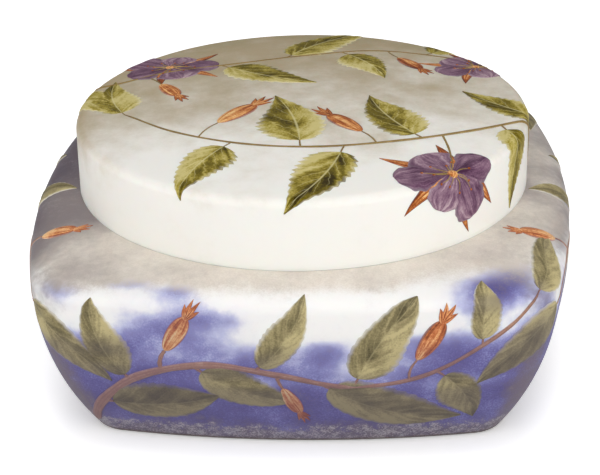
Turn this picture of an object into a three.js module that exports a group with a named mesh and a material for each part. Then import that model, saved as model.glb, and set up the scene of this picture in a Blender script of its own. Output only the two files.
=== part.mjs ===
// A two-piece box in cameo glass: a square, cushion-shaped base with a round mouth,
// and a low-domed round lid that drops over the base's collar and rests on its ground seat.
// Millimetres, +Z up, origin at the centre of the foot's underside.

import * as THREE from 'three';

// Base, outside
const footHalfWidth = 58.3;
const footSideRadius = 254;
const footCornerRadius = 9;
const footBevel = 0.9;
const beltHeight = 44.8;
const beltHalfWidth = 73.4;
const beltSideRadius = 268;
const beltCornerRadius = 17;
const flareLead = 2.1;
const shoulderRise = 6.9;
const shoulderWidth = 10.8;

// Base, foot ring and glass thickness
const footRingWidth = 11;
const footHollowDepth = 0.9;
const baseWall = 5;
const baseFloor = 7;
const floorFillet = 9;
const shoulderThickness = 5;

// Lid, and how it sits over the collar
const seatMargin = 0.6;
const lidWall = 4.5;
const lidFillet = 2.5;
const lidInnerFillet = 5;
const crownRise = 3.6;
const crownThickness = 5;
const rimArris = 0.5;
const collarClearance = 0.8;
const collarWall = 4;
const collarHeight = 6.5;
const collarHeadroom = 7.7;

// How finely the glass is divided
const baseStepsRound = 80;
const cornerFineness = 0.65;
const lidStepsRound = 72;
const wallSteps = 10;
const shoulderSteps = 6;
const filletSteps = 4;
const crownSteps = 6;
const hollowSteps = 3;

// Sizes that follow from the ones above
const seatHeight = beltHeight + shoulderRise;
const seatRadius = beltHalfWidth - shoulderWidth;
const lidRadius = seatRadius - seatMargin;
const lidInnerRadius = lidRadius - lidWall;
const collarRadius = lidInnerRadius - collarClearance;
const mouthRadius = collarRadius - collarWall;
const skirtHeight = collarHeight + collarHeadroom + crownThickness;

// Reach from the axis, at each angle, of a square whose sides bow outwards as arcs
// and whose corners are smaller arcs that meet them smoothly
function bowedSquare(halfWidth, sideRadius, cornerRadius) {
  const sideCentre = sideRadius - halfWidth;
  const span = sideRadius - cornerRadius;
  const cornerCentre = (Math.sqrt(2 * span ** 2 - sideCentre ** 2) - sideCentre) / 2;
  const meetAngle = Math.atan2(
    (sideRadius * cornerCentre) / span,
    (sideRadius * (cornerCentre + sideCentre)) / span - sideCentre
  );
  return (angle) => {
    const turn = Math.abs(((angle + Math.PI / 4) % (Math.PI / 2)) - Math.PI / 4);
    if (turn < meetAngle) {
      const across = sideCentre * Math.sin(turn);
      return Math.sqrt(sideRadius ** 2 - across ** 2) - sideCentre * Math.cos(turn);
    }
    const middle = cornerCentre * (Math.cos(turn) + Math.sin(turn));
    return middle + Math.sqrt(cornerRadius ** 2 - 2 * cornerCentre ** 2 + middle ** 2);
  };
}

// A level section of the base: its height and how far it reaches at each angle
function section(height, reachAt) {
  return { height, reachAt };
}

function circle(height, radius) {
  return section(height, () => radius);
}

// Rise from 0 to 1 that starts steeply and ends upright at the belt
function flare(t) {
  return flareLead * t * (1 - t) ** 2 + t * t * (3 - 2 * t);
}

const footOutline = bowedSquare(footHalfWidth, footSideRadius, footCornerRadius);
const beltOutline = bowedSquare(beltHalfWidth, beltSideRadius, beltCornerRadius);

// The flared wall at a height between the foot and the belt, moved inwards by an inset
function wallSection(height, inset) {
  const share = flare(height / beltHeight);
  return section(
    height,
    (angle) => THREE.MathUtils.lerp(footOutline(angle), beltOutline(angle), share) - inset
  );
}

// A quarter of an ellipse from the belt, where it stands upright, to a level circle
function shoulderSections(belt, apexHeight, radius) {
  const sections = [];
  for (let i = 1; i <= shoulderSteps; i++) {
    const turn = (i / shoulderSteps) * (Math.PI / 2);
    sections.push(
      section(
        THREE.MathUtils.lerp(belt.height, apexHeight, Math.sin(turn)),
        (angle) => THREE.MathUtils.lerp(radius, belt.reachAt(angle), Math.cos(turn))
      )
    );
  }
  return sections;
}

// Angles round the axis, closer together towards the four corners
function stepAngle(step) {
  const even = (step / baseStepsRound) * 2 * Math.PI;
  return even + (cornerFineness / 4) * Math.sin(4 * even);
}

// One closed skin through level sections, from a point on the axis to another
function loftAlongAxis(startHeight, sections, endHeight) {
  const positions = [0, 0, startHeight];
  for (const ring of sections) {
    for (let i = 0; i < baseStepsRound; i++) {
      const angle = stepAngle(i);
      const radius = ring.reachAt(angle);
      positions.push(radius * Math.cos(angle), radius * Math.sin(angle), ring.height);
    }
  }
  positions.push(0, 0, endHeight);

  const indices = [];
  const lastPoint = positions.length / 3 - 1;
  const point = (ring, step) => 1 + ring * baseStepsRound + (step % baseStepsRound);
  for (let i = 0; i < baseStepsRound; i++) {
    indices.push(0, point(0, i + 1), point(0, i));
    for (let ring = 0; ring < sections.length - 1; ring++) {
      indices.push(point(ring, i), point(ring, i + 1), point(ring + 1, i + 1));
      indices.push(point(ring, i), point(ring + 1, i + 1), point(ring + 1, i));
    }
    const last = sections.length - 1;
    indices.push(lastPoint, point(last, i), point(last, i + 1));
  }

  const geometry = new THREE.BufferGeometry();
  geometry.setAttribute('position', new THREE.Float32BufferAttribute(positions, 3));
  geometry.setIndex(indices);
  geometry.computeVertexNormals();
  return geometry;
}

// Underside: a shallow ground hollow inside the flat ring that the box stands on
function footSections() {
  const sections = [];
  const ringInner = footBevel + footRingWidth;
  const hollowRing = wallSection(0, ringInner);
  for (let i = 1; i < hollowSteps; i++) {
    const reach = i / hollowSteps;
    const height = footHollowDepth * (1 - reach ** 2);
    sections.push(section(height, (angle) => hollowRing.reachAt(angle) * reach));
  }
  sections.push(hollowRing);
  sections.push(wallSection(0, footBevel));
  return sections;
}

function outerWallSections() {
  const sections = [];
  for (let i = 0; i <= wallSteps; i++) {
    const height = THREE.MathUtils.lerp(footBevel, beltHeight, i / wallSteps);
    sections.push(wallSection(height, 0));
  }
  return sections;
}

// The collar that holds the lid in place, with its top edge melted round
function collarSections() {
  const roundRadius = collarWall / 2;
  const roundHeight = seatHeight + collarHeight - roundRadius;
  const sections = [circle(seatHeight, collarRadius)];
  const roundSteps = 2 * filletSteps;
  for (let i = 0; i <= roundSteps; i++) {
    const turn = (i / roundSteps) * Math.PI;
    const radius = mouthRadius + roundRadius * (1 + Math.cos(turn));
    sections.push(circle(roundHeight + roundRadius * Math.sin(turn), radius));
  }
  return sections;
}

// The hollow, from the mouth out under the shoulder and down to the rounded floor
function hollowSections() {
  const innerBelt = wallSection(beltHeight, baseWall);
  const sections = shoulderSections(innerBelt, seatHeight - shoulderThickness, mouthRadius).reverse();
  sections.push(innerBelt);
  const filletTop = baseFloor + floorFillet;
  for (let i = 1; i <= wallSteps; i++) {
    sections.push(wallSection(THREE.MathUtils.lerp(beltHeight, filletTop, i / wallSteps), baseWall));
  }
  for (let i = 1; i <= filletSteps; i++) {
    const turn = (i / filletSteps) * (Math.PI / 2);
    const height = filletTop - floorFillet * Math.sin(turn);
    sections.push(wallSection(height, baseWall + floorFillet * (1 - Math.cos(turn))));
  }
  return sections;
}

function baseGeometry() {
  const outerWall = outerWallSections();
  const belt = outerWall[outerWall.length - 1];
  const sections = [
    ...footSections(),
    ...outerWall,
    ...shoulderSections(belt, seatHeight, seatRadius),
    ...collarSections(),
    ...hollowSections()
  ];
  return loftAlongAxis(footHollowDepth, sections, baseFloor);
}

// Half profile from the top of a straight skirt, round a fillet that meets the crown's
// sphere smoothly, and on along the sphere to the axis
function crownProfile(skirtRadius, fillet, sphereRadius, sphereHeight) {
  const filletRadius = skirtRadius - fillet;
  const reach = sphereRadius - fillet;
  const filletHeight = sphereHeight + Math.sqrt(reach ** 2 - filletRadius ** 2);
  const crownAngle = Math.acos(filletRadius / reach);
  const profile = [];
  for (let i = 0; i <= filletSteps; i++) {
    const turn = (i / filletSteps) * crownAngle;
    profile.push(
      new THREE.Vector2(filletRadius + fillet * Math.cos(turn), filletHeight + fillet * Math.sin(turn))
    );
  }
  for (let i = 1; i <= crownSteps; i++) {
    const turn = THREE.MathUtils.lerp(crownAngle, Math.PI / 2, i / crownSteps);
    const radius = i < crownSteps ? sphereRadius * Math.cos(turn) : 0;
    profile.push(new THREE.Vector2(radius, sphereHeight + sphereRadius * Math.sin(turn)));
  }
  return profile;
}

function lidGeometry() {
  const sphereRadius = (lidRadius ** 2 + crownRise ** 2) / (2 * crownRise);
  const sphereHeight = skirtHeight + crownRise - sphereRadius;
  const inside = crownProfile(
    lidInnerRadius,
    lidInnerFillet,
    sphereRadius - crownThickness,
    sphereHeight
  );
  const profile = [
    ...inside.reverse(),
    new THREE.Vector2(lidInnerRadius, rimArris),
    new THREE.Vector2(lidInnerRadius + rimArris, 0),
    new THREE.Vector2(lidRadius - rimArris, 0),
    new THREE.Vector2(lidRadius, rimArris),
    ...crownProfile(lidRadius, lidFillet, sphereRadius, sphereHeight)
  ];
  return new THREE.LatheGeometry(profile, lidStepsRound).rotateX(Math.PI / 2);
}

const clouded = new THREE.MeshStandardMaterial({ color: 0x7f7aa0, roughness: 0.42, metalness: 0 });
const ivory = new THREE.MeshStandardMaterial({ color: 0xf1ece0, roughness: 0.38, metalness: 0 });

const base = new THREE.Mesh(baseGeometry(), clouded);
base.name = 'box_base';

const lid = new THREE.Mesh(lidGeometry(), ivory);
lid.name = 'box_lid';
lid.position.z = seatHeight;

const box = new THREE.Group();
box.name = 'cameo_glass_box';
box.add(base, lid);

export default box;
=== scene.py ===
from math import pi, sin, cos, radians, sqrt

import bmesh
import bpy
import numpy as np
from mathutils import Matrix, Vector


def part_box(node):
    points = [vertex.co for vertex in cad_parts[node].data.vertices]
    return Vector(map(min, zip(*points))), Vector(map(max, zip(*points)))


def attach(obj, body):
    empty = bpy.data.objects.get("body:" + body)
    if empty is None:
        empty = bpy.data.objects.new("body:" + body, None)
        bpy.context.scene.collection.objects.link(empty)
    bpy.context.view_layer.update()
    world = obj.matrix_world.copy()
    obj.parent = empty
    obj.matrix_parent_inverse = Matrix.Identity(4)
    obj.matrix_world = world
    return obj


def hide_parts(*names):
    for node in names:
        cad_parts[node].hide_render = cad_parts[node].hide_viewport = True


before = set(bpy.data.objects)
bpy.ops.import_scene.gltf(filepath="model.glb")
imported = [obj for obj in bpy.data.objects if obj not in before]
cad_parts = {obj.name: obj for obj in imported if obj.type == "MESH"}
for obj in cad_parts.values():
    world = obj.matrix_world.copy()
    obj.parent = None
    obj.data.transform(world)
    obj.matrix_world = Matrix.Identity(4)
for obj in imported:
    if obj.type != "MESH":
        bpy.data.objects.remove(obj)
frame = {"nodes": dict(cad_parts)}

print("frame loaded:", ", ".join(frame["nodes"]))
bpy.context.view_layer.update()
baseLow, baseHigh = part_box("box_base")
lidLow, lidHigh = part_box("box_lid")
mm = 0.001

# The base's form, in metres: the solid's sizes, the outer ones read from the frame, and a small
# fillet at the collar's foot
baseForm = {
    "footHalf": 58.3 * mm, "footSide": 254 * mm, "footCorner": 9 * mm, "footRound": 0.9 * mm,
    "beltHeight": 44.8 * mm, "beltHalf": baseHigh.x, "beltSide": 268 * mm, "beltCorner": 17 * mm,
    "flareLead": 2.1, "seatHeight": lidLow.z, "seatRadius": lidHigh.x + 0.6 * mm,
    "footRing": 11 * mm, "footHollow": 0.9 * mm,
    "wall": 5 * mm, "floor": 7 * mm, "floorFillet": 9 * mm, "shoulderThickness": 5 * mm,
    "collarTop": baseHigh.z, "collarRadius": 56.7 * mm, "collarWall": 4 * mm, "collarFillet": 0.5 * mm,
    "stepsRound": 400, "cornerFineness": 0.5,
}

# The lid's form, in metres, measured from its rim up
lidForm = {
    "radius": lidHigh.x, "height": lidHigh.z - lidLow.z, "crownRise": 3.6 * mm,
    "wall": 4.5 * mm, "crownThickness": 5 * mm, "fillet": 2.5 * mm, "innerFillet": 5 * mm,
    "arris": 0.2 * mm, "stepsRound": 300,
}


# Numbers for a colour written as 0 to 255, turned to linear light
def tone(red, green, blue):
    part = np.array([red, green, blue]) / 255
    return tuple(np.where(part <= 0.04045, part / 12.92, ((part + 0.055) / 1.055) ** 2.4)) + (1.0,)


# Stops of a colour ramp, each given as its place and its colour
def shades(*stops):
    return [(place, tone(*colour)) for place, *colour in stops]


# 0 below low, 1 above high, and 3t^2 - 2t^3 between them
def ease(value, low, high):
    t = np.clip((value - low) / (high - low), 0, 1)
    return t * t * (3 - 2 * t)


# Soft cloud values about -0.5 to 0.5 at points: a sum of sine waves in seeded directions
def clouds(points, size, seed, waves=14):
    rng = np.random.default_rng(seed)
    way = rng.normal(size=(waves, 3))
    way /= np.linalg.norm(way, axis=1)[:, None]
    pace = 2 * pi / size * rng.uniform(0.5, 1.6, waves)
    phase = rng.uniform(0, 2 * pi, waves)
    wave = np.sin(points @ (way * pace[:, None]).T + phase)
    return wave.sum(-1) / waves ** 0.5 * 0.34


# Reach from the axis of a square with sides bowed as arcs of radius side and corner arcs that
# meet them: side arcs centre at half - side on each axis, corner arcs at equal x and y
def bowedSquare(half, side, corner, angle):
    sideCentre, span = side - half, side - corner
    centre = (sqrt(2 * span ** 2 - sideCentre ** 2) - sideCentre) / 2
    meet = np.arctan2(side * centre / span, side * (centre + sideCentre) / span - sideCentre)
    turn = np.abs((angle + pi / 4) % (pi / 2) - pi / 4)
    onSide = np.sqrt(side ** 2 - (sideCentre * np.sin(turn)) ** 2) - sideCentre * np.cos(turn)
    middle = centre * (np.cos(turn) + np.sin(turn))
    onCorner = middle + np.sqrt(np.maximum(corner ** 2 - 2 * centre ** 2 + middle ** 2, 0))
    return np.where(turn < meet, onSide, onCorner)


# Reach and height of the base's outside. Level 0 to 1 is the wall, from the foot's outline to the
# belt's by lead t (1 - t)^2 + t^2 (3 - 2t); level 1 to 2 is the shoulder, a quarter ellipse
def baseReach(angle, level):
    form = baseForm
    foot = bowedSquare(form["footHalf"], form["footSide"], form["footCorner"], angle)
    belt = bowedSquare(form["beltHalf"], form["beltSide"], form["beltCorner"], angle)
    t = np.clip(level, 0, 1)
    share = form["flareLead"] * t * (1 - t) ** 2 + t * t * (3 - 2 * t)
    turn = np.clip(level - 1, 0, 1) * pi / 2
    seat = form["seatRadius"]
    return np.where(level > 1, seat + (belt - seat) * np.cos(turn), foot + (belt - foot) * share)


def baseHeight(level):
    rise = baseForm["seatHeight"] - baseForm["beltHeight"]
    turn = np.clip(level - 1, 0, 1) * pi / 2
    return baseForm["beltHeight"] * np.clip(level, 0, 1) + rise * np.sin(turn)


def basePoint(angle, level):
    reach = baseReach(angle, level)
    return np.stack([reach * np.cos(angle), reach * np.sin(angle), baseHeight(level) + 0 * reach], -1)


# Arc tables that turn lengths on the base's outside into angle and level
tableAngles = np.linspace(-pi / 2, 3 * pi / 2, 1441)
coarseAngles = tableAngles[::4]
tableLevels = np.linspace(0, 1, 61)


def arcAlong(points, axis):
    step = np.linalg.norm(np.diff(points, axis=axis), axis=-1)
    start = np.zeros_like(np.take(step, [0], axis))
    return np.concatenate([start, np.cumsum(step, axis)], axis)


beltArc = arcAlong(basePoint(tableAngles, np.full_like(tableAngles, 1.0)), 0)
girth = beltArc[-1]
quarter = girth / mm / 4
angleGrid, levelGrid = np.meshgrid(coarseAngles, tableLevels, indexing="ij")
wallArc = arcAlong(basePoint(angleGrid, levelGrid), 1)
shoulderArc = arcAlong(basePoint(angleGrid, levelGrid + 1.0), 1)
wallShare = (wallArc / wallArc[:, -1:]).mean(0)
shoulderShare = (shoulderArc / shoulderArc[:, -1:]).mean(0)
print("girth at the belt %.1f mm, wall %.1f mm" % (girth / mm, wallArc[0, -1] / mm))


# Base chart: x runs round the belt from the middle of the front, y runs up the wall from the foot
def onBase(x, y):
    angle = np.interp(np.mod(x, girth), beltArc, tableAngles)
    wall = np.interp(angle, coarseAngles, wallArc[:, -1])
    shoulder = np.interp(angle, coarseAngles, shoulderArc[:, -1])
    low = np.interp(y / wall, wallShare, tableLevels)
    high = 1 + np.interp((y - wall) / shoulder, shoulderShare, tableLevels)
    return basePoint(angle, np.clip(np.where(y <= wall, low, high), 0.012, 1.985))


# Lid profile: skirt, fillet and crown as radius and height above the rim
def crownCurve(radius, fillet, sphere, centre, steps):
    reach = sphere - fillet
    inner = radius - fillet
    level = centre + sqrt(reach ** 2 - inner ** 2)
    meet = np.arccos(inner / reach)
    turn = np.linspace(0, meet, steps)
    rest = np.linspace(meet, pi / 2, 3 * steps)[1:]
    r = np.concatenate([inner + fillet * np.cos(turn), sphere * np.cos(rest)])
    z = np.concatenate([level + fillet * np.sin(turn), centre + sphere * np.sin(rest)])
    r[-1] = 0
    return r, z


lidSphere = (lidForm["radius"] ** 2 + lidForm["crownRise"] ** 2) / (2 * lidForm["crownRise"])
lidCentre = lidForm["height"] - lidSphere
lidOuter = crownCurve(lidForm["radius"], lidForm["fillet"], lidSphere, lidCentre, 12)
lidInner = crownCurve(lidForm["radius"] - lidForm["wall"], lidForm["innerFillet"],
                      lidSphere - lidForm["crownThickness"], lidCentre, 12)
lidCurve = np.stack([np.append(lidForm["radius"], lidOuter[0]), np.append(0, lidOuter[1])], -1)[::-1]
lidArc = arcAlong(lidCurve, 0)


# Lid chart: x and y from the crown's middle, as far out as the arc over crown and skirt is long
def onLid(x, y):
    out = np.maximum(np.hypot(x, y), 1e-9)
    radius = np.interp(out, lidArc, lidCurve[:, 0])
    height = np.interp(out, lidArc, lidCurve[:, 1]) + baseForm["seatHeight"]
    return np.stack([radius * x / out, radius * y / out, height], -1)


# Point and outward normal on a chart, the normal from small steps both ways
def surfaceOn(chart, x, y):
    step = 0.05 * mm
    alongX = chart(x + step, y) - chart(x - step, y)
    alongY = chart(x, y + step) - chart(x, y - step)
    normal = np.cross(alongX, alongY)
    normal /= np.linalg.norm(normal, axis=-1, keepdims=True)
    return chart(x, y), normal


# New mesh object, smooth, with point attributes and one material or one for each face
def newPiece(name, points, faces, materials, faceMaterial=None, attributes=None, mend=False):
    mesh = bpy.data.meshes.new(name)
    mesh.from_pydata(points.tolist(), [], faces)
    if mend:
        work = bmesh.new()
        work.from_mesh(mesh)
        bmesh.ops.recalc_face_normals(work, faces=work.faces)
        work.to_mesh(mesh)
        work.free()
    for label, values in (attributes or {}).items():
        layer = mesh.attributes.new(label, "FLOAT_VECTOR", "POINT")
        layer.data.foreach_set("vector", np.ascontiguousarray(values, np.float32).ravel())
    for material in materials:
        mesh.materials.append(material)
    if faceMaterial is not None:
        mesh.polygons.foreach_set("material_index", np.asarray(faceMaterial, np.int32))
    mesh.polygons.foreach_set("use_smooth", np.ones(len(mesh.polygons), bool))
    mesh.validate()
    mesh.update()
    piece = bpy.data.objects.new(name, mesh)
    bpy.context.scene.collection.objects.link(piece)
    return piece


# Angles round the axis, closer together at the corners: even + fineness / 4 sin(4 even)
def stepAngles(steps, fineness):
    even = np.arange(steps) / steps * 2 * pi
    return even + fineness / 4 * np.sin(4 * even)


# Faces between rows of point numbers, each row closed to a ring
def ringFaces(index):
    beside = np.roll(index, -1, 1)
    return np.stack([index[:-1], beside[:-1], beside[1:], index[1:]], -1).reshape(-1, 4).tolist()


# Closed skin through level rings (height, reach at each angle), with a point on the axis at each end
def ringSkin(rings, angle, lift=0.0):
    steps = len(angle)
    reach = np.array([np.broadcast_to(ring[1], steps) for ring in rings[1:-1]])
    height = np.array([ring[0] for ring in rings])
    level = np.broadcast_to(height[1:-1, None], reach.shape)
    ringPoints = np.stack([reach * np.cos(angle), reach * np.sin(angle), level + lift], -1)
    ends = np.array([[0, 0, height[0] + lift], [0, 0, height[-1] + lift]])
    points = np.concatenate([ringPoints.reshape(-1, 3), ends])
    count = len(rings) - 2
    index = np.arange(count * steps).reshape(count, steps)
    first = np.stack([np.full(steps, count * steps), np.roll(index[0], -1), index[0]], -1)
    last = np.stack([np.full(steps, count * steps + 1), index[-1], np.roll(index[-1], -1)], -1)
    faces = ringFaces(index) + first.tolist() + last.tolist()
    ringOfFace = np.concatenate([np.repeat(np.arange(count - 1), steps),
                                 np.zeros(steps, int), np.full(steps, count - 1)])
    return points, faces, ringOfFace


# Shader sums as Python: a wrapped socket whose arithmetic adds Math nodes
class Link:
    def __init__(self, paint, socket):
        self.paint, self.socket = paint, socket

    def __add__(self, other):
        return self.paint.math("ADD", self, other)

    def __sub__(self, other):
        return self.paint.math("SUBTRACT", self, other)

    def __rsub__(self, other):
        return self.paint.math("SUBTRACT", other, self)

    def __mul__(self, other):
        return self.paint.math("MULTIPLY", self, other)

    def __abs__(self):
        return self.paint.math("ABSOLUTE", self)

    # 0 at low and 1 at high, smooth between them
    def ease(self, low, high):
        return self.paint.node("MapRange", {"interpolation_type": "SMOOTHSTEP"},
                               {"Value": self, "From Min": low, "From Max": high})

    __radd__ = __add__
    __rmul__ = __mul__


# One material's node tree; the constants in its look go to the shader's own sockets
class Paint:
    sockets = {"roughness": "Roughness", "gloss": "Specular IOR Level", "glow": "Subsurface Weight",
               "glowReach": "Subsurface Scale", "shine": "Emission Strength"}

    def __init__(self, name, look):
        self.look, self.material = look, bpy.data.materials.new(name)
        self.material.use_nodes = True
        self.tree = self.material.node_tree
        self.shader = self.tree.nodes["Principled BSDF"]
        for key, socket in self.sockets.items():
            if key in look:
                self.shader.inputs[socket].default_value = look[key]

    # Any node from its type, its settings and the values or links of its sockets
    def node(self, kind, settings=None, sockets=None, out=0):
        made = self.tree.nodes.new("ShaderNode" + kind)
        for key, value in (settings or {}).items():
            if key == "ramp":
                while len(made.color_ramp.elements) < len(value):
                    made.color_ramp.elements.new(0.5)
                for element, (place, colour) in zip(made.color_ramp.elements, value):
                    element.position, element.color = place, colour
            else:
                setattr(made, key, value)
        for key, value in (sockets or {}).items():
            if isinstance(value, Link):
                self.tree.links.new(value.socket, made.inputs[key])
            else:
                made.inputs[key].default_value = value
        return Link(self, made.outputs[out])

    def feed(self, socket, link):
        self.tree.links.new(link.socket, self.shader.inputs[socket])

    def math(self, operation, *values):
        return self.node("Math", {"operation": operation}, dict(enumerate(values)))

    # Noise about 0, over the piece's own place in metres unless another place is given
    def noise(self, size, detail=3.0, roughness=0.55, place=None):
        place = place or self.node("TexCoord", out="Object")
        return self.node("TexNoise", None, {"Vector": place, "Scale": 1 / size, "Detail": detail,
                                            "Roughness": roughness}) - 0.5

    def ramp(self, stops, value):
        return self.node("ValToRGB", {"ramp": stops}, {0: value})

    def mix(self, share, first, second):
        return self.node("Mix", {"data_type": "RGBA"}, {0: share, 6: first, 7: second}, out=2)

    def parts(self, label):
        found = self.node("Attribute", {"attribute_name": label}, out="Vector")
        split = self.node("SeparateXYZ", None, {0: found}).socket.node
        return [Link(self, split.outputs[i]) for i in range(3)]

    # Feed the shader, rougher being a change of the look's roughness, and give the material
    def finish(self, colour, height, rougher=None):
        bump = {"Height": height, "Distance": self.look["bumpDepth"], "Strength": 1.0}
        self.feed("Base Color", colour)
        self.feed("Normal", self.node("Bump", None, bump))
        if rougher:
            self.feed("Roughness", self.look["roughness"] + rougher)
        return self.material


# Outside of the base: powder colours under a satin, etched surface. A depth value runs through the
# ramp, from white clouds at 0 to deep violet at 1. Grey lies on the shoulder, and a grey-violet haze
# darkens it: partly powder and partly painted shade, strongest on the left side. A brown-grey is
# painted shade at the corners and on the walls just behind them, and lies as a brown band near the
# foot; frost lies over the foot strip and rim along the very foot
cloudGlassLook = {
    "ramp": shades((0, 249, 247, 244), (0.14, 240, 239, 242), (0.32, 190, 192, 224),
                   (0.52, 140, 140, 192), (0.74, 106, 101, 160), (1.0, 86, 78, 134)),
    "grey": tone(236, 227, 215), "greyDark": tone(212, 202, 191), "hazeAndShade": tone(138, 128, 129),
    "darkHazeAndShade": tone(101, 90, 101), "brownShade": tone(118, 104, 102), "frost": tone(186, 180, 188),
    "frostDark": tone(110, 98, 108), "rim": tone(92, 74, 60),
    "roughness": 0.45, "gloss": 0.4, "glow": 0.1, "glowReach": 3 * mm,
    "grainSize": 0.45 * mm, "fineSize": 2.2 * mm, "patchSize": 11 * mm, "bumpDepth": 0.035 * mm,
}


def cloudGlass():
    look = cloudGlassLook
    paint = Paint("cloudedGlass", look)
    depth, greyness, foot = paint.parts("cloud")
    edge, hazeAndShade, rim = paint.parts("ground")
    grain = paint.noise(look["grainSize"], 2.0, 0.7)
    fine = paint.noise(look["fineSize"], 3.0, 0.6)
    patch = paint.noise(look["patchSize"], 2.5, 0.5)
    deep = depth + (patch * 0.85 + fine * 0.25) * depth.ease(-0.1, 0.3)
    deep = deep + grain * depth * depth * 1.1
    colour = paint.ramp(look["ramp"], deep)
    # The brown-grey mixed in here is painted shade at the corners and on the walls behind them, and a
    # brown band near the foot
    colour = paint.mix((edge + patch * 0.8 + fine * 0.5).ease(0.2, 1.0) * 0.7, colour, look["brownShade"])
    mottle = (fine * 0.5 + grain * 0.7 + patch * 0.7).ease(-0.4, 0.5)
    greyShade = paint.mix(mottle, look["grey"], look["greyDark"])
    # The haze that darkens the grey is partly powder and partly painted shade, strongest on the left side
    hazyAndShaded = hazeAndShade + fine * 0.25 + patch * 0.4
    greyShade = paint.mix(hazyAndShaded.ease(0.0, 1.1), greyShade, look["hazeAndShade"])
    greyShade = paint.mix(hazyAndShaded.ease(1.0, 2.1), greyShade, look["darkHazeAndShade"])
    greyEdge = (greyness + patch * 0.5 + fine * 0.5 + grain * 0.5).ease(0.0, 1.0)
    colour = paint.mix(greyEdge, colour, greyShade)
    frost = paint.mix((fine + grain * 1.4).ease(-0.12, 0.25), look["frostDark"], look["frost"])
    strip = (foot + fine * 0.9 + grain * 0.7 + patch * 0.3).ease(0.35, 0.7)
    colour = paint.mix(strip * 0.75, colour, frost)
    colour = paint.mix(rim * 0.8, colour, look["rim"])
    return paint.finish(colour, grain * 0.6 + fine, grain * 0.12)


# Outside of the lid: opaque ivory, with beige and straw that are partly powder and partly painted shade,
# darker on the crown than on the skirt and towards the back and left
ivoryLook = {
    "ivory": tone(251, 248, 241), "beigeAndShade": tone(183, 166, 133), "strawAndShade": tone(162, 147, 106),
    "roughness": 0.42, "gloss": 0.25, "glow": 0.15, "glowReach": 4 * mm,
    "grainSize": 0.6 * mm, "patchSize": 11 * mm, "bumpDepth": 0.03 * mm,
}


def ivoryGlass():
    look = ivoryLook
    paint = Paint("ivoryGlass", look)
    beigeAndShade, strawAndShade, _ = paint.parts("cloud")
    grain = paint.noise(look["grainSize"], 2.0)
    patch = paint.noise(look["patchSize"], 4.0, 0.6)
    wander = patch * 0.9 + grain * 0.12
    # Beige and straw are partly powder and partly painted shade, towards the back and left of the crown
    colour = paint.mix((beigeAndShade + wander).ease(0.0, 1.1), look["ivory"], look["beigeAndShade"])
    colour = paint.mix((strawAndShade + wander).ease(0.1, 1.1), colour, look["strawAndShade"])
    return paint.finish(colour, grain * 0.6 + patch, grain * 0.1)


# Inside: smooth fire-polished glass, pale with patches of a tint
insideLook = {
    "baseInside": (tone(228, 226, 228), tone(196, 193, 212)),
    "lidInside": (tone(238, 235, 227), tone(226, 220, 206)), "roughness": 0.12, "patchSize": 14 * mm,
}


def innerGlass(name):
    paint = Paint(name, insideLook)
    patch = paint.noise(insideLook["patchSize"]).ease(-0.15, 0.2)
    paint.feed("Base Color", paint.mix(patch, *insideLook[name]))
    return paint.material


# Ground faces: seat, rim and foot ring, matt and finely grained
groundLook = {
    "colours": (tone(206, 203, 198), tone(226, 224, 220)), "roughness": 0.62,
    "grainSize": 0.35 * mm, "bumpDepth": 0.03 * mm,
}


def groundGlass():
    paint = Paint("groundGlass", groundLook)
    grain = paint.noise(groundLook["grainSize"], 2.0) + 0.5
    return paint.finish(paint.mix(grain, *groundLook["colours"]), grain)


# Relief glass takes its colour from two attributes of each form: place holds along 0 to 1, across
# -1 to 1 and a shade of its own, and over tells how deep the blue under it is. A ramp runs from
# light to dark, deep is the tint over deep blue, and edge is how much of the ground shows through
# the thin edge. Streaks holds how fine they are, how much darker a form gets along its length and
# at its edge, and how strong they are
reliefLook = {
    "oliveLeaf": {
        "ramp": shades((0, 196, 182, 134), (0.3, 162, 149, 108), (0.6, 130, 119, 84), (1, 88, 80, 56)),
        "vein": tone(188, 176, 132), "veins": 0.35,
        "deep": tone(96, 88, 90), "edge": 0.5, "gloss": 0.2},
    "greenLeaf": {
        "ramp": shades((0, 211, 197, 130), (0.3, 176, 159, 70), (0.58, 120, 105, 22), (1, 58, 47, 6)),
        "vein": tone(216, 207, 152), "veins": 0.7,
        "deep": tone(106, 96, 112), "edge": 0.25, "gloss": 0.08},
    "darkTwig": {
        "ramp": shades((0, 216, 184, 164), (0.4, 178, 136, 114), (1.0, 124, 90, 78)),
        "streaks": (1.6, 0.2, 0.2, 1.6), "deep": tone(112, 88, 104), "edge": 0.35, "gloss": 0.25},
    "paleTwig": {
        "ramp": shades((0, 190, 164, 112), (0.4, 154, 128, 76), (1.0, 112, 88, 50)),
        "streaks": (1.6, 0.2, 0.2, 1.6), "deep": tone(112, 88, 104), "edge": 0.2, "gloss": 0.1},
    "mauvePetal": {
        "ramp": shades((0, 194, 168, 176), (0.3, 153, 121, 138), (0.6, 118, 84, 107), (1, 76, 43, 69)),
        "streaks": (4.5, -0.35, 0.2, 1.9), "deep": tone(112, 88, 104), "edge": 0.15, "gloss": 0.1},
    "paleOrangeFruit": {
        "ramp": shades((0, 252, 228, 180), (0.3, 242, 184, 126), (0.6, 198, 114, 66), (1, 118, 56, 38)),
        "streaks": (3.0, 0.3, 0.25, 2.1), "deep": tone(116, 78, 88), "edge": 0.2, "gloss": 0.25},
    "orangeFruit": {
        "ramp": shades((0, 248, 212, 150), (0.3, 224, 153, 87), (0.6, 166, 84, 36), (1, 82, 29, 12)),
        "streaks": (3.0, 0.3, 0.25, 2.3), "deep": tone(124, 84, 92), "edge": 0.2, "gloss": 0.1},
}
leafLook = {"roughness": 0.45, "bumpDepth": 0.04 * mm, "wanderSize": 5 * mm, "grainSize": 0.5 * mm,
            "patchSize": 7 * mm}
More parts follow.
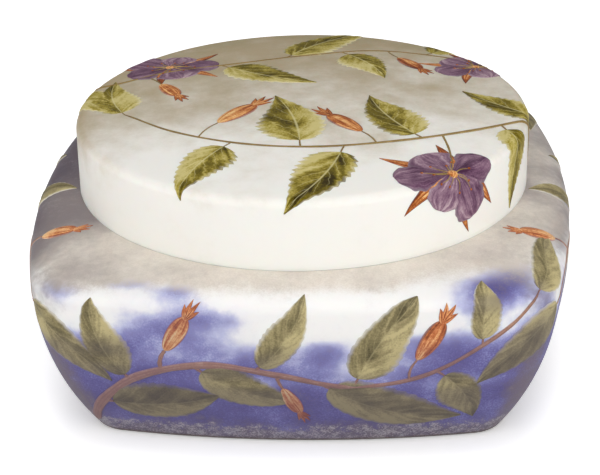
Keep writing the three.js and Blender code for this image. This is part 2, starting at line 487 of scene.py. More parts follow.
streakLook = {"roughness": 0.42, "bumpDepth": 0.06 * mm, "wanderSize": 4 * mm, "grainSize": 0.5 * mm}


# Deep blue under relief glass dulls it a little, and the ground shows through at its thin edge
def shineThrough(paint, colour, side):
    look, over = paint.look, paint.parts("over")[0]
    under = paint.ramp(cloudGlassLook["ramp"], over)
    colour = paint.mix(over.ease(0.1, 0.9) * 0.6, colour, look["deep"])
    return paint.mix(side.ease(0.78, 1.0) * look["edge"], colour, under)


# Leaf glass: softly brushed along the side veins, darker towards the midrib and on one half, with
# pale veins that slant forward and fade towards the edge
def leafGlass(name, look):
    paint = Paint(name, look | leafLook)
    along, across, own = paint.parts("place")
    side = abs(across)
    slant = along * 6.0 - side * 2.2 + paint.noise(leafLook["wanderSize"]) * 0.8
    stretched = paint.node("CombineXYZ", None, {0: slant * 1.4, 1: side * 0.9, 2: own * 20.0})
    brush = paint.noise(1.0, 3.0, 0.5, stretched)
    patch = paint.noise(leafLook["patchSize"])
    grain = paint.noise(leafLook["grainSize"], 2.0)
    half = (across + patch * 0.6).ease(-0.2, 0.2) - 0.5
    ribs = paint.math("PINGPONG", slant, 0.5)
    shade = 0.46 + (own - 0.3) * 0.6 - side.ease(0.1, 1.0) * 0.22 + half * 0.36
    shade = shade + brush * 1.2 + patch * 1.3 + grain * 0.7
    shade = shade + (ribs - 0.25) * 0.3 + along.ease(0.7, 1.0) * 0.2
    midrib = 1 - side.ease(0.01, 0.055)
    sideVeins = (1 - ribs.ease(0.01, 0.08)) * (1 - side.ease(0.3, 0.9)) * 0.5
    veins = paint.math("MAXIMUM", midrib, sideVeins)
    colour = paint.mix(veins * look["veins"], paint.ramp(look["ramp"], shade), look["vein"])
    return paint.finish(shineThrough(paint, colour, side), 1 - veins * 0.5 + brush * 0.5 + grain * 0.4)


# Streaked relief glass for blossoms, fruit and twigs
def streakGlass(name, look):
    fineness, fall, edge, strength = look["streaks"]
    paint = Paint(name, look | streakLook)
    along, across, own = paint.parts("place")
    side = abs(across)
    wander = paint.noise(streakLook["wanderSize"])
    forward = along * 1.3 + wander * 0.6
    stretched = paint.node("CombineXYZ", None, {0: forward, 1: across * fineness, 2: own * 20.0})
    streak = paint.noise(1.0, 5.0, 0.62, stretched)
    grain = paint.noise(streakLook["grainSize"], 2.0)
    shade = 0.5 + streak * strength + (along - 0.5) * fall + (own - 0.3) * 0.6
    shade = shade + wander * 0.9 + grain * 0.4 + side.ease(0.7, 1.0) * edge
    return paint.finish(shineThrough(paint, paint.ramp(look["ramp"], shade), side), streak + grain * 0.4)


print("materials")
cloudedMaterial = cloudGlass()
ivoryMaterial = ivoryGlass()
groundMaterial = groundGlass()
baseInsideMaterial = innerGlass("baseInside")
lidInsideMaterial = innerGlass("lidInside")
reliefMaterials = {name: (leafGlass if "veins" in look else streakGlass)(name, look)
                   for name, look in reliefLook.items()}


# Base skin: rings from the foot's hollow, up the outside, over seat and collar, and down inside
def makeBase():
    form = baseForm
    angle = stepAngles(form["stepsRound"], form["cornerFineness"])
    belt, seat, wall, foot = form["beltHeight"], form["seatHeight"], form["wall"], form["footRound"]
    rings = []

    # zone is 0 clouded outside, 1 inside, 2 foot ring and hollow, 3 seat
    def add(height, reach, zone, level=0.0):
        rings.append((height, reach, zone, level))

    def wallReach(height):
        return baseReach(angle, height / belt)

    hollow = wallReach(0) - foot - form["footRing"]
    add(form["footHollow"], 0, 2)
    for share in np.linspace(0.1, 1, 14):
        add(form["footHollow"] * (1 - share ** 2), hollow * share, 2)
    for turn in np.linspace(0, pi / 2, 6):
        height = foot * (1 - cos(turn))
        add(height, wallReach(height) - foot * (1 - sin(turn)), 0 if turn else 2, height / belt)
    for level in np.append(np.linspace(foot / belt, 1, 46)[1:], np.linspace(1, 2, 34)[1:]):
        add(baseHeight(level), baseReach(angle, level), 0, level)
    collar, fillet, half = form["collarRadius"], form["collarFillet"], form["collarWall"] / 2
    add(seat, lidForm["radius"], 3, 2.0)
    for turn in np.linspace(0, pi / 2, 5):
        add(seat + fillet * (1 - cos(turn)), collar + fillet * (1 - sin(turn)), 3 if turn < 1 else 1)
    for turn in np.linspace(0, pi, 17):
        add(form["collarTop"] - half * (1 - sin(turn)), collar - half * (1 - cos(turn)), 1)
    mouth, rise = collar - 2 * half, seat - form["shoulderThickness"] - belt
    inside = wallReach(belt) - wall
    for turn in np.linspace(pi / 2, 0, 22):
        add(belt + rise * sin(turn), mouth + (inside - mouth) * cos(turn), 1)
    fillet = form["floorFillet"]
    filletTop = form["floor"] + fillet
    for height in np.linspace(belt, filletTop, 18)[1:]:
        add(height, wallReach(height) - wall, 1)
    for turn in np.linspace(0, pi / 2, 12)[1:]:
        height = filletTop - fillet * sin(turn)
        add(height, wallReach(height) - wall - fillet * (1 - cos(turn)), 1)
    floorReach = rings[-1][1]
    for share in np.linspace(0.85, 0.1, 8):
        add(form["floor"], floorReach * share, 1)
    add(form["floor"], 0, 1)

    points, faces, ringOfFace = ringSkin(rings, angle)
    zone = np.array([ring[2] for ring in rings[1:-1]])[ringOfFace]
    level = np.append(np.repeat([ring[3] for ring in rings[1:-1]], len(angle)), [0, 0])
    piece = newPiece("base_glass", points, faces,
                     [cloudedMaterial, baseInsideMaterial, groundMaterial, groundMaterial],
                     zone, baseClouds(points, level))
    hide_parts("box_base")
    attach(piece, "base")


# Where the powder colours and the painted shade lie, in mm on the base chart. Four lists run evenly
# round the girth: shore is the height of the blue's edge, greyDown how far the shoulder's grey comes
# down, the third how dark the grey is made by haze, which is partly powder and partly painted shade
# heaviest on the left side, and the fourth how much brown painted shade lies on the walls behind
# two corners. A patch is x, y, half its width, half its height and how deep it is; a cloud is size,
# seed and strength. Pairs are where something begins and where it is full: by height, by level, or
# for corner, the painted shade at the corners, by the way from side to corner
cloudPlaces = {
    "shore": [43, 37, 49, 56, 50, 43, 48, 46, 41, 38, 43, 48,
              45, 41, 46, 49, 44, 40, 43, 48, 46, 50, 52, 49],
    "greyDown": [0, 0, 0.05, 0.2, 0.45, 0.75, 1, 1, 0.9, 0.6, 0.45, 0.3,
                 0.25, 0.3, 0.5, 0.8, 1, 1.1, 1.15, 1.15, 0.9, 0.3, 0.15, 0.05],
    "hazeAndShade": [0, 0, 0.05, 0.2, 0.35, 0.42, 0.5, 0.55, 0.55, 0.5, 0.4, 0.3,
             0.25, 0.3, 0.6, 1, 1.5, 1.8, 1.7, 1.2, 0.65, 0.25, 0.1, 0.05],
    "brownShade": [0, 0, 0, 0.1, 0.45, 0.7, 0.3, 0, 0, 0, 0, 0,
              0, 0, 0, 0, 0, 0, 0, 0.35, 1.1, 0.32, 0, 0],
    "patches": [
        (-54, 58.5, 5, 2, 0.65), (-45, 55, 6, 2.4, 0.65), (-38, 58, 4, 1.8, 0.4), (-30, 53, 5, 2.6, 0.45),
        (-62, 52, 7, 4, 0.4), (-22, 47, 8, 2.4, 0.3), (55, 52, 9, 2.6, 0.75), (48, 49, 8, 2.5, 0.35),
        (64, 54, 6, 2.5, 0.5), (96, 54, 10, 3, 0.6), (84, 57, 5, 2, 0.4), (118, 50, 6, 3, 0.3),
        (140, 52, 8, 2.8, 0.5), (205, 54, 9, 2.6, 0.6), (216, 58, 5, 1.8, 0.4), (292, 53, 10, 2.6, 0.55),
        (338, 55, 8, 2.4, 0.55), (328, 50, 7, 2.4, 0.35), (18, 33, 8, 3, -0.4), (-12, 27, 14, 2.4, -0.42),
        (-50, 33, 12, 2.6, -0.34), (44, 26, 12, 2.6, -0.38), (100, 30, 14, 3, -0.4),
        (160, 27, 12, 3, -0.4),
        (238, 32, 14, 3, -0.4), (300, 28, 12, 3, -0.4), (366, 32, 12, 3, -0.4), (420, 26, 14, 3, -0.35)],
    "clouds": [(46 * mm, 5, 0.9), (17 * mm, 9, 0.75)], "drift": (24 * mm, 9),
    "reach": 11.0, "most": 0.87, "footStrip": 15.0, "footRim": (0.6, 2.6),
    "corner": (0.82, 1.0), "cornerFade": (20, 48), "footBrown": (6, 20),
    "grey": (1.32, 1.86), "hazyAndShaded": (0.95, 1.45), "hazeAndShadeThins": (1.1, 1.7),
}


# Value at x of a list that runs evenly round the girth
def roundGirth(x, label):
    values = cloudPlaces[label]
    stops = np.linspace(0, girth / mm, len(values) + 1)
    return np.interp(np.mod(x, girth / mm), stops, values + values[:1])


# Depth of the blue: most (1 - exp(-below^2)), where below is the way down from the edge over reach
def cloudDepth(x, y, points):
    below = (roundGirth(x, "shore") - y) / cloudPlaces["reach"]
    for size, seed, strength in cloudPlaces["clouds"]:
        below = below + clouds(points, size, seed) * strength
    depth = cloudPlaces["most"] * (1 - np.exp(-np.maximum(below, 0) ** 2))
    for px, py, sx, sy, deep in cloudPlaces["patches"]:
        apart = (np.mod(x - px + girth / mm / 2, girth / mm) - girth / mm / 2) / sx
        depth = depth + deep * np.exp(-(apart ** 2 + ((y - py) / sy) ** 2))
    return depth


def baseClouds(points, level):
    places = cloudPlaces
    angle = np.arctan2(points[:, 1], points[:, 0])
    x = np.interp(np.mod(angle + pi / 2, 2 * pi) - pi / 2, tableAngles, beltArc) / mm
    wall = np.interp(level, tableLevels, wallShare) * wallArc[0, -1] / mm
    y = wall + np.interp(level - 1, tableLevels, shoulderShare) * shoulderArc[0, -1] / mm
    drift = clouds(points, *places["drift"])
    greyDown = roundGirth(x, "greyDown")
    grey = ease(level + drift * 0.35 + greyDown * 0.7, *places["grey"])
    # Painted shade: darker at each corner, where the outline lies, fading upwards; a brown band near the
    # foot; and painted shade on the walls behind two corners
    corner = 1 - 2 * np.abs(np.mod(x / quarter, 1) - 0.5)
    edge = ease(corner, *places["corner"]) * (1 - 0.4 * ease(y, *places["cornerFade"]))
    edge = np.maximum(edge, 0.5 * (1 - ease(y, *places["footBrown"])))
    edge = np.maximum(edge, roundGirth(x, "brownShade"))
    # Haze: partly powder and partly painted shade, heaviest on the left side and low on the shoulder
    hazeAndShade = roundGirth(x, "hazeAndShade") * (1.6 - 0.6 * ease(level, *places["hazeAndShadeThins"])) + drift * 0.4
    hazeAndShade = hazeAndShade * ease(level + greyDown * 0.35, *places["hazyAndShaded"])
    strip, rim = 1 - ease(y, 0, places["footStrip"]), 1 - ease(y, *places["footRim"])
    return {"cloud": np.stack([cloudDepth(x, y, points), grey, strip], -1),
            "ground": np.stack([edge, hazeAndShade, rim], -1)}


# Lid skin: from under the crown down the inside, round the ground rim and up the outside
def makeLid():
    form = lidForm
    inner, arris, radius = form["radius"] - form["wall"], form["arris"], form["radius"]
    rows = [(lidInner[1][-1], 0.0, 1)]
    rows += [(z, r, 1) for r, z in zip(lidInner[0][-2::-1], lidInner[1][-2::-1])]
    rows += [(z, inner, 1) for z in np.linspace(lidInner[1][0], arris, 8)[1:]]
    rows += [(0.0, inner + arris, 2), (0.0, radius - arris, 2), (arris * 0.3, radius - arris * 0.3, 0)]
    rows += [(z, radius, 0) for z in np.linspace(arris, lidOuter[1][0], 14)[:-1]]
    rows += [(z, r, 0) for r, z in zip(lidOuter[0], lidOuter[1])]
    points, faces, ringOfFace = ringSkin(rows, stepAngles(form["stepsRound"], 0), baseForm["seatHeight"])
    zone = np.array([row[2] for row in rows[1:-1]])[ringOfFace]
    piece = newPiece("lid_glass", points, faces, [ivoryMaterial, lidInsideMaterial, groundMaterial],
                     zone, lidClouds(points))
    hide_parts("box_lid")
    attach(piece, "lid")


# Where the lid's beige lies, partly powder and partly painted shade, on the crown only: it grows
# from start over range towards the back and a little to the left, and a little lies as painted
# shade on the fold between skirt and crown, which catches the light, to dull its highlight. A pale
# spot is x, y and size in mm from the crown's middle, and how much it takes away. Straw, also partly
# painted shade, lies towards the back and the edge; drift is the size and seed of the clouds
lidPlaces = {
    "start": -1.0, "range": 1.55, "leftwards": 0.35, "topFrom": 3 * mm, "topTo": 21 * mm,
    "foldAt": 0.985, "foldWidth": 0.018, "foldShade": 0.13, "drift": (55 * mm, 12),
    "paleSpots": [(-30, -40, 17, 0.3), (-52, -20, 12, 0.22), (34, -44, 16, 0.12)],
    "strawAndShade": 0.6, "strawBack": (0.3, 0.95), "strawOut": (0.5, 0.95),
}


def lidClouds(points):
    places, seat = lidPlaces, baseForm["seatHeight"]
    out = np.hypot(points[:, 0], points[:, 1]) / lidForm["radius"]
    back = points[:, 1] / lidForm["radius"]
    lean = back - points[:, 0] / lidForm["radius"] * places["leftwards"]
    drift = clouds(points, *places["drift"])
    onTop = ease(points[:, 2], seat + places["topFrom"], seat + places["topTo"])
    # Partly painted shade: beige grows towards the back and left, on the crown only
    beigeAndShade = np.clip((lean + drift * 0.5 - places["start"]) / places["range"], 0, 1)
    for x, y, size, strength in places["paleSpots"]:
        apart = np.hypot(points[:, 0] / mm - x, points[:, 1] / mm - y) / size
        beigeAndShade = beigeAndShade - strength * np.exp(-apart ** 2)
    # Painted shade on the fold, where the crown's edge catches the light, to dull its highlight
    onFold = np.exp(-((out - places["foldAt"]) / places["foldWidth"]) ** 2)
    beigeAndShade = np.maximum(beigeAndShade, 0) * onTop + places["foldShade"] * onFold * ease(onTop, 0.7, 0.9)
    strawAndShade = ease(back + drift * 0.5, *places["strawBack"]) * ease(out, *places["strawOut"])
    return {"cloud": np.stack([beigeAndShade, strawAndShade * onTop * places["strawAndShade"], np.zeros_like(beigeAndShade)], -1)}


print("glass skins")
makeBase()
makeLid()


# Relief: closed shells that stand a little proud of the glass, gathered into one piece
class Relief:
    def __init__(self, name, chart, body, material, slot):
        self.name, self.chart, self.body, self.material, self.slot = name, chart, body, material, slot
        self.points, self.faces, self.places, self.overs, self.count = [], [], [], [], 0

    # One shell over the chart: rows along, columns across, edges let into the glass by sink
    def shell(self, x, y, height, along, across, own, sink=0.35 * mm):
        sides = ((0, 0), (1, 1))
        x, y, along, across = (np.pad(values, sides, "edge") for values in (x, y, along, across))
        height = np.pad(height, sides, constant_values=-sink)
        point, normal = surfaceOn(self.chart, x, y)
        point = point + normal * height[..., None]
        rows, columns = x.shape
        index = self.count + np.arange(rows * columns).reshape(rows, columns)
        self.faces += ringFaces(index) + [index[0][::-1].tolist(), index[-1].tolist()]
        self.points.append(point.reshape(-1, 3))
        self.places.append(np.stack([along, across, np.full_like(x, own)], -1).reshape(-1, 3))
        over = cloudDepth(x / mm, y / mm, point) if self.chart is onBase else 0 * x
        self.overs.append(np.stack([over, 0 * x, 0 * x], -1).reshape(-1, 3))
        self.count += rows * columns

    def finish(self):
        values = {"place": np.concatenate(self.places), "over": np.concatenate(self.overs)}
        piece = newPiece(self.name, np.concatenate(self.points), self.faces, [self.material],
                         attributes=values, mend=True)
        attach(piece, self.body)
        print(" ", self.name, len(piece.data.polygons), "faces")


# Smooth curve through given points: Catmull-Rom, the same number of steps between each two
def smoothPath(points, steps=10):
    points = np.array(points, float)
    before = np.concatenate([[2 * points[0] - points[1]], points[:-1]])
    after = np.concatenate([points[1:], [2 * points[-1] - points[-2]]])
    slope = (after - before) / 2
    t = np.linspace(0, 1, steps, endpoint=False)[None, :, None]
    start, end = points[:-1, None], points[1:, None]
    slopeStart, slopeEnd = slope[:-1, None], slope[1:, None]
    curve = ((2 * t ** 3 - 3 * t ** 2 + 1) * start + (t ** 3 - 2 * t ** 2 + t) * slopeStart
             + (3 * t ** 2 - 2 * t ** 3) * end + (t ** 3 - t ** 2) * slopeEnd)
    return np.concatenate([curve.reshape(-1, 2), points[-1:]])


# Half ellipse over the width, a little above 0 at its edges
def roundTop(across):
    return np.sqrt(np.clip(1 - (0.97 * across) ** 2, 0, 1))


# Twig: a low ridge along a path, round across, thicker at the start, with a slight knot at each point
def twig(relief, points, startWidth, endWidth, height, own=0.3, steps=10):
    path = smoothPath(points, steps)
    step = np.gradient(path, axis=0)
    step /= np.linalg.norm(step, axis=1, keepdims=True)
    along = np.linspace(0, 1, len(path))[:, None]
    across = np.linspace(-1, 1, 9)[None]
    knot = 1 + 0.12 * np.cos(np.arange(len(path)) / steps * 2 * pi)[:, None] ** 3
    half = (startWidth + (endWidth - startWidth) * along) / 2 * knot * mm
    half = half * np.minimum(1, np.minimum(along, 1 - along) * 30 + 0.35)
    x = path[:, :1] * mm - step[:, 1:] * across * half
    y = path[:, 1:] * mm + step[:, :1] * across * half
    top = height * mm * roundTop(across) * (half / half.max()) ** 0.5
    relief.shell(x, y, top, along + 0 * across, across + 0 * along, own)


# Body of leaves, petals and fruit: rows along a midline bent to an arc, columns across its width
def blade(relief, start, heading, length, outline, surface, bend, skew, own, rows):
    along = np.linspace(0, 1, rows)[:, None]
    across = np.sin(np.linspace(-1, 1, 17) * pi / 2)[None]
    bend = bend if abs(bend) > 1e-6 else 1e-6
    turn = bend * along
    midX, midY = np.sin(turn) / bend * length, (1 - np.cos(turn)) / bend * length
    half = outline(along) * np.where(across > 0, 1 + skew, 1 - skew)
    localX = midX - np.sin(turn) * across * half
    localY = midY + np.cos(turn) * across * half
    way = radians(heading)
    x = start[0] + localX * cos(way) - localY * sin(way)
    y = start[1] + localX * sin(way) + localY * cos(way)
    across = across + 0 * along
    along = along + 0 * across
    relief.shell(x * mm, y * mm, surface(along, across) * mm, along, across, own)


# Soft edge of a low relief: 1 inside, falling as a quarter circle over the last share of the width
def softEdge(across, share):
    fall = np.clip((np.abs(across) - 1 + share) / share, 0, 1)
    return np.sqrt(1 - 0.97 * fall ** 2)


# Leaf. Outline: t^0.5 (1 - t)^tip over its own peak, with teeth that lean forward. Surface: two
# soft swells beside a sunk midrib, lower at the edge and at the stalk
def leaf(relief, x, y, heading, length, width, bend, own):
    teeth, depth, tip = relief["teeth"]
    peak = (0.5 / (0.5 + tip)) ** 0.5 * (tip / (0.5 + tip)) ** tip

    def outline(t):
        body = t ** 0.5 * np.clip(1 - t, 0, 1) ** tip / peak
        saw = np.mod(t ** 0.9 * teeth, 1.0)
        tooth = np.where(saw < 0.8, saw / 0.8, (1 - saw) / 0.2)
        return width / 2 * (body * (1 + depth * (tooth - 0.5) + 0.05 * np.sin(8 * t + width)) + 0.02)

    def surface(along, across):
        side = np.abs(across)
        swell = 0.8 + 0.2 * np.sin(pi * side) - 0.22 * np.exp(-(side / 0.06) ** 2)
        ribs = 0.05 * np.cos(2 * pi * (along * 6 - side * 2.2)) * np.sin(pi * side)
        low = softEdge(across, 0.35) * (0.4 + 0.6 * ease(along, 0, 0.12))
        return relief["height"] * (swell + ribs) * low
    blade(relief["leaves"], (x, y), heading, length, outline, surface, bend, 0.16 * np.sign(bend), own,
          teeth * 7)


# Petal: narrow at the claw, broadest past the middle, its round end waved
def petal(relief, x, y, heading, length, width, own, height, bend):
    def outline(t):
        wave = 1 + 0.06 * np.sin(13 * t + own * 40) + 0.04 * np.sin(29 * t + own * 70)
        return width / 2 * wave * (np.sin(pi * np.clip(0.05 + 0.93 * t, 0, 1) ** 1.9) ** 0.6 + 0.02)

    def surface(along, across):
        cup = 0.7 + 0.3 * along - 0.15 * np.cos(3.2 * across) * along
        cup = cup + 0.05 * np.cos(7 * across + own * 9) * along
        return height * cup * softEdge(across, 0.25) * (1 - 0.5 * ease(along, 0.93, 1))
    blade(relief["petals"], (x, y), heading, length, outline, surface, bend, 0.0, own, 32)


# Narrow pointed blade, for sepals: half a sine wave, from 0.12 of its way on
def sepal(relief, x, y, heading, length, width, own, height, bend):
    def outline(t):
        return width / 2 * (np.sin(pi * (0.12 + 0.88 * t) ** 0.8) ** 0.9 + 0.02)

    def surface(along, across):
        return height * (1 - 0.3 * across ** 2) * (1 - 0.3 * along) * softEdge(across, 0.5)
    blade(relief["fruits"], (x, y), heading, length, outline, surface, bend, 0.0, own, 26)


# Egg-shaped swelling, for hips and blossom hearts: a half ellipse across and along
def swelling(relief, x, y, heading, length, width, own, height, pear=0.0):
    def outline(t):
        egg = np.sqrt(np.clip(1 - (2 * t - 1) ** 2, 0.004, 1))
        return width / 2 * egg * (1 + pear * (t - 0.5))

    def surface(along, across):
        return height * roundTop(across) * np.clip(4 * along * (1 - along), 0.03, 1) ** 0.4
    blade(relief["fruits"], (x, y), heading, length, outline, surface, 0.0, 0.0, own, 28)


# Curved stalk, bent evenly by a turn in degrees; gives where it ends and its heading there
def stalk(relief, x, y, heading, length, turn, width):
    way = np.radians(heading + turn * np.linspace(0, 1, 4))
    xs = x + np.append(0, np.cumsum(np.cos(way[1:]))) * length / 3
    ys = y + np.append(0, np.cumsum(np.sin(way[1:]))) * length / 3
    twig(relief["twigs"], list(zip(xs, ys)), width, width * 0.75, relief["height"] * 0.9, 0.4, 8)
    return xs[-1], ys[-1], heading + turn


# Open five-petalled blossom over long sepals, with a heart and fine stamens that end in dots.
# It is seen from the side: everything is shortened along its stalk by tilt
def blossom(relief, x, y, size, facing, tilt=0.72):
    height = relief["height"]

    # Heading and share of the size left of something that points away from the heart
    def seen(away):
        way = radians(away)
        ahead, aside = cos(way) * tilt, sin(way)
        return facing + np.degrees(np.arctan2(aside, ahead)), sqrt(ahead ** 2 + aside ** 2)

    for number in range(5):
        heading, share = seen(36 + number * 72)
        sepal(relief, x, y, heading, size * share * (1.5 - 0.15 * (number % 2)), size * 0.28,
              0.2 + 0.12 * (number % 3), height * 0.7, 0.5 - 0.7 * (number % 2))
    for number in (0, 2, 4, 1, 3):
        heading, share = seen(number * 72)
        width = size * (0.78 + 0.08 * (number % 2))
        petal(relief, x, y, heading, size * share * (0.98 + 0.06 * (number % 3)), width,
              0.14 + 0.12 * (number * 2 % 5), height * (1.3 - 0.1 * number), 0.2 - 0.4 * (number % 2))
    for number in range(11):
        heading, share = seen(number * 360 / 11 + 9 * (number % 3))
        way, reach = radians(heading), size * share * (0.32 + 0.09 * (number % 3))
        ends = [(x + cos(way + lean) * reach * part, y + sin(way + lean) * reach * part)
                for part, lean in ((0.2, 0), (0.6, 0.12), (1, 0))]
        twig(relief["twigs"], ends, 0.4, 0.3, height * 1.5, 0.1, 5)
        swelling(relief, ends[2][0], ends[2][1], heading, 0.9, 0.8, 0.5, height * 1.7)
    swelling(relief, x - size * 0.1 * cos(radians(facing)), y - size * 0.1 * sin(radians(facing)), facing,
             size * 0.2, size * 0.2, 0.0, height * 1.9)


# Slender hip at the end of a stalk, with a tuft of small sepals
def hip(relief, x, y, heading, size, own):
    height = relief["height"]
    swelling(relief, x, y, heading, size, size * 0.4, own, height * 1.8, 0.3)
    way = radians(heading)
    tipX, tipY = x + size * 0.93 * cos(way), y + size * 0.93 * sin(way)
    for fan in (-22, -6, 10, 26):
        sepal(relief, tipX, tipY, heading + fan, size * (0.56 - abs(fan) / 120), size * 0.12, own + 0.2,
              height, radians(fan) * 0.5)


# A spray: one twig with what grows from it. Everything is told by its share of the twig's length,
# the angle it leaves at and the length of its stalk. The whole is moved sideways by shift, in mm,
# and mirrored where hand is -1
def growSpray(relief, spray, shift, hand):
    points = [(shift + hand * x, y) for x, y in spray["path"]]
    start, end = spray["width"]
    twig(relief["twigs"], points, start, end, relief["height"] * 1.3)
    path = smoothPath(points)
    way = np.gradient(path, axis=0)
    run = np.append(0, np.cumsum(np.linalg.norm(np.diff(path, axis=0), axis=1)))

    def leave(share, angle, length, turn):
        x, y, dx, dy = (np.interp(share * run[-1], run, values) for values in (*path.T, *way.T))
        heading = np.degrees(np.arctan2(dy, dx)) + hand * angle
        return stalk(relief, x, y, heading, length, hand * turn, (start + (end - start) * share) * 0.55)

    for share, angle, length, size, width, bend in spray["leaves"]:
        x, y, heading = leave(share, angle, length, angle * 0.1)
        leaf(relief, x, y, heading, size, width, hand * bend, 0.12 + 0.4 * np.mod(share * 7.3, 1))
    for share, angle, length, turn, size in spray["hips"]:
        x, y, heading = leave(share, angle, length, turn)
        hip(relief, x, y, heading, size, 0.1 + 0.35 * np.mod(share * 5.1, 1))
    for share, angle, length, size in spray.get("blossoms", []):
        x, y, heading = leave(share, angle, length, angle * -0.2)
        blossom(relief, x, y, size, heading)


# Height in mm of each body's relief, its leaves' teeth (number, depth and how slender the tip is),
# and the glass of its leaves, twigs, petals and fruits
reliefForm = {
    "base": {"height": 0.28, "teeth": (11, 0.07, 0.95),
             "glass": ("oliveLeaf", "darkTwig", "mauvePetal", "paleOrangeFruit")},
    "lid": {"height": 0.22, "teeth": (12, 0.17, 1.2),
            "glass": ("greenLeaf", "paleTwig", "mauvePetal", "orangeFruit")},
}
reliefKinds = {"leaves": "leaf_glass", "twigs": "twig_glass", "petals": "blossom_glass",
               "fruits": "fruit_glass"}


# Grow a body's sprays, each with its shift and hand, and make a piece of each kind that they hold
def makeRelief(body, chart, grown):
    print("relief on the", body)
    form = reliefForm[body]
    gathered = [Relief(body + "_" + kind, chart, body, reliefMaterials[glass], slot)
                for (kind, slot), glass in zip(reliefKinds.items(), form["glass"])]
    relief = dict(zip(reliefKinds, gathered), height=form["height"], teeth=form["teeth"])
    for spray, shift, hand in grown:
        growSpray(relief, spray, shift, hand)
    for kind in gathered:
        if kind.points:
            kind.finish()


# Sprays on the base, in mm on its chart. A leaf is share, angle, stalk, length, width, bend;
# a hip is share, angle, stalk, the stalk's turn, size
baseSprays = {
    "low": {
        "path": [(-64, 5), (-55, 17), (-41, 28), (-22, 33), (-3, 30), (15, 26), (34, 29), (51, 40),
                 (64, 52)],
        "width": (3.0, 1.0),
        "leaves": [(0.1, -46, 3, 33, 15, 0.5), (0.2, 82, 2, 25, 11.5, -0.6), (0.33, -48, 3, 27, 13, 0.8),
                   (0.44, 50, 2, 24, 9.5, 0.6), (0.56, -22, 3, 42, 15, 0.7), (0.62, 66, 3, 29, 13, -0.5),
                   (0.77, -62, 3, 22, 11, -0.5), (0.86, 54, 2, 19, 8, -0.6), (1.0, -14, 1, 27, 11, -0.6)],
        "hips": [(0.27, 84, 7, -44, 12), (0.48, -78, 5, 24, 11), (0.72, 96, 7, -50, 13)]},
    "high": {
        "path": [(62, 4), (54, 18), (41, 27), (22, 31), (2, 37), (-17, 45), (-37, 49), (-57, 45)],
        "width": (3.2, 1.2),
        "leaves": [(0.08, -52, 3, 25, 12, -0.5), (0.17, 44, 3, 36, 15, 0.3), (0.42, 50, 4, 42, 16, -0.5),
                   (0.36, -66, 3, 22, 11, 0.4), (0.6, -56, 3, 21, 9, 0.6), (0.72, 66, 3, 31, 13, -0.6),
                   (1.0, 10, 1, 30, 12, 0.6)],
        "hips": [(0.52, 92, 7, -20, 12), (0.84, -88, 6, 30, 12)]},
}

# The spray on the front, the right, the back and the left side, and its hand
basePlaces = [("low", 1), ("high", 1), ("low", -1), ("high", -1)]

# Sprays on the lid, in mm on its chart, whose middle is the crown's. The fold lies 60 out and the
# rim 80, which nothing may pass. A blossom is share, angle, stalk, size
lidSprays = {
    "front": {
        "path": [(78, 2), (62, -8), (46, -19), (27, -28), (6, -33), (-14, -31), (-33, -22), (-48, -8)],
        "width": (1.4, 0.7),
        "leaves": [(0.1, -50, 2, 24, 12, -0.4), (0.2, 74, 3, 24, 13, 0.5), (0.37, -66, 3, 28, 15, -0.5),
                   (0.52, 62, 4, 32, 15, -0.5), (0.6, -78, 4, 31, 17, 0.4), (0.73, 66, 3, 27, 13, 0.5),
                   (1.0, -16, 2, 26, 12, -0.6)],
        "hips": [(0.46, -96, 8, 30, 14), (0.8, -70, 10, -30, 15)],
        "blossoms": [(0.33, 80, 22, 15)]},
    "back": {
        "path": [(-72, 14), (-56, 16), (-40, 24), (-20, 29), (0, 36), (20, 42), (42, 38), (60, 30)],
        "width": (1.3, 0.7),
        "leaves": [(0.04, -60, 2, 24, 12, 0.4), (0.36, -52, 3, 30, 13, 0.5), (0.5, 40, 3, 36, 14, -0.5),
                   (0.62, -62, 3, 24, 12, -0.5), (0.8, 56, 3, 24, 11, 0.5), (1.0, -20, 2, 20, 11, 0.5)],
        "hips": [(0.72, -74, 7, 20, 12), (0.2, -70, 9, -20, 12)],
        "blossoms": [(0.24, 64, 5, 14), (0.9, -60, 5, 13)]},
}

makeRelief("base", onBase, [(baseSprays[name], side * quarter, hand)
                            for side, (name, hand) in enumerate(basePlaces)])
makeRelief("lid", onLid, [(spray, 0, 1) for spray in lidSprays.values()])

# Studio: a floor that is white to the camera and keeps the shadow; an even sky, darker where the
# glass mirrors it and white to the camera; and soft lamps, each given by azimuth, elevation,
# distance, size and power. The floor's rings lie out from the belt: first, last and number, the
# near ones in mm
studioLook = {
    "floorColour": tone(226, 226, 226), "floorSeen": tone(255, 255, 255), "nearGlow": tone(130, 130, 130),
    "floorGlow": tone(188, 188, 188), "farGlow": tone(206, 206, 206),
    "shadow": (-14 * mm, 3 * mm), "far": (0.1, 0.9), "floorDrop": 0.05 * mm, "floorDepth": 1 * mm,
    "nearRings": (-60, 24, 43), "farRings": (0.04, 3.0, 12), "floorSteps": 96, "aimHeight": 0.03,
    "roughness": 0.9, "gloss": 0.0, "shine": 1.0, "sky": 0.47, "skyMirrored": 0.15, "skySeen": 1.0,
    "lamps": {"frontLamp": (4, 45, 0.9, 0.6, 2.7), "rightLamp": (62, 15, 0.7, 0.35, 1.2),
              "leftLamp": (-62, 15, 0.7, 0.35, 1.0), "backLamp": (180, 40, 1.1, 0.7, 0.8)},
}


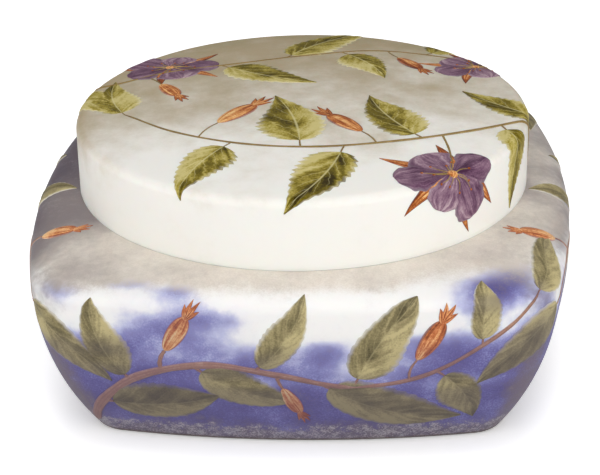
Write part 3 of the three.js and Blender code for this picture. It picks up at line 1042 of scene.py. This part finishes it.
# Floor: a thin disc in rings that follow the belt's outline. What the camera sees of it glows
# more and more from under the belt outwards, which keeps the shadow close to the box
def makeFloor():
    look = studioLook
    angle = stepAngles(look["floorSteps"], 0)
    belt = baseReach(angle, 1)
    top = baseLow.z - look["floorDrop"]
    outwards = np.append(np.linspace(*look["nearRings"]) * mm, np.geomspace(*look["farRings"]))[::-1]
    rings = [(top - look["floorDepth"], 0)] + [(top, belt + out) for out in outwards] + [(top, 0)]
    points, faces, _ = ringSkin(rings, angle)
    away = np.append(np.repeat(outwards, len(angle)), [outwards[0], outwards[-1]])
    paint = Paint("floorWhite", look)
    seen = paint.node("LightPath", out="Is Camera Ray")
    paint.feed("Base Color", paint.mix(seen, look["floorColour"], look["floorSeen"]))
    out = paint.parts("away")[0]
    glow = paint.mix(out.ease(*look["shadow"]), look["nearGlow"], look["floorGlow"])
    glow = paint.mix(out.ease(*look["far"]), glow, look["farGlow"])
    paint.feed("Emission Color", paint.mix(seen, (0, 0, 0, 1), glow))
    floor = newPiece("floor", points, faces, [paint.material],
                     attributes={"away": np.stack([away, 0 * away, 0 * away], -1)})


def makeWorld():
    world = bpy.data.worlds.new("studio")
    world.use_nodes = True
    tree = world.node_tree
    background = tree.nodes["Background"]
    background.inputs["Color"].default_value = (1, 1, 1, 1)
    rays = tree.nodes.new("ShaderNodeLightPath")
    mirrored, seen = (tree.nodes.new("ShaderNodeMapRange") for _ in range(2))
    tree.links.new(rays.outputs["Is Glossy Ray"], mirrored.inputs["Value"])
    tree.links.new(rays.outputs["Is Camera Ray"], seen.inputs["Value"])
    mirrored.inputs["To Min"].default_value = studioLook["sky"]
    mirrored.inputs["To Max"].default_value = studioLook["skyMirrored"]
    tree.links.new(mirrored.outputs[0], seen.inputs["To Min"])
    seen.inputs["To Max"].default_value = studioLook["skySeen"]
    tree.links.new(seen.outputs[0], background.inputs["Strength"])
    bpy.context.scene.world = world


# Direction from the box, by degrees to the right of the front and up
def wayOut(azimuth, elevation):
    a, e = radians(azimuth), radians(elevation)
    return Vector((sin(a) * cos(e), -cos(a) * cos(e), sin(e)))


# A soft square lamp that looks at the box
def softLamp(name, azimuth, elevation, distance, size, power):
    lamp = bpy.data.lights.new(name, "AREA")
    lamp.size, lamp.energy = size, power
    holder = bpy.data.objects.new(name, lamp)
    place = wayOut(azimuth, elevation) * distance
    holder.location = place + Vector((0, 0, studioLook["aimHeight"]))
    holder.rotation_euler = place.to_track_quat("Z", "Y").to_euler()
    bpy.context.scene.collection.objects.link(holder)


# The view: fitted to the outlines of the box in a picture of 600 by 475
cameraView = {
    "focalPixels": 1966.0, "distance": 558 * mm, "azimuth": 3.3, "elevation": 25.33, "roll": 1.22,
    "aimHeight": 31 * mm, "aimPixel": (304.6, 239.85), "picture": (600, 475),
    "sensor": 36.0, "clipStart": 0.01,
}


def makeCamera():
    view = cameraView
    back = wayOut(view["azimuth"], view["elevation"])
    right = Vector((cos(radians(view["azimuth"])), sin(radians(view["azimuth"])), 0))
    up = back.cross(right)
    turn = radians(-view["roll"])
    right, up = right * cos(turn) + up * sin(turn), up * cos(turn) - right * sin(turn)
    scale = view["distance"] / view["focalPixels"]
    overX = (view["aimPixel"][0] - view["picture"][0] / 2) * scale
    overY = (view["picture"][1] / 2 - view["aimPixel"][1]) * scale
    place = Vector((0, 0, view["aimHeight"])) + back * view["distance"] - right * overX - up * overY
    data = bpy.data.cameras.new("camera")
    data.sensor_fit = "HORIZONTAL"
    data.sensor_width = view["sensor"]
    data.lens = view["focalPixels"] * view["sensor"] / view["picture"][0]
    data.clip_start = view["clipStart"]
    camera = bpy.data.objects.new("camera", data)
    turned = Matrix((right, up, back)).transposed().to_4x4()
    camera.matrix_world = Matrix.Translation(place) @ turned
    bpy.context.scene.collection.objects.link(camera)
    bpy.context.scene.camera = camera


print("floor, light and camera")
makeFloor()
makeWorld()
for lampName, lampPlace in studioLook["lamps"].items():
    softLamp(lampName, *lampPlace)
makeCamera()
bpy.context.scene.view_settings.view_transform = "Standard"
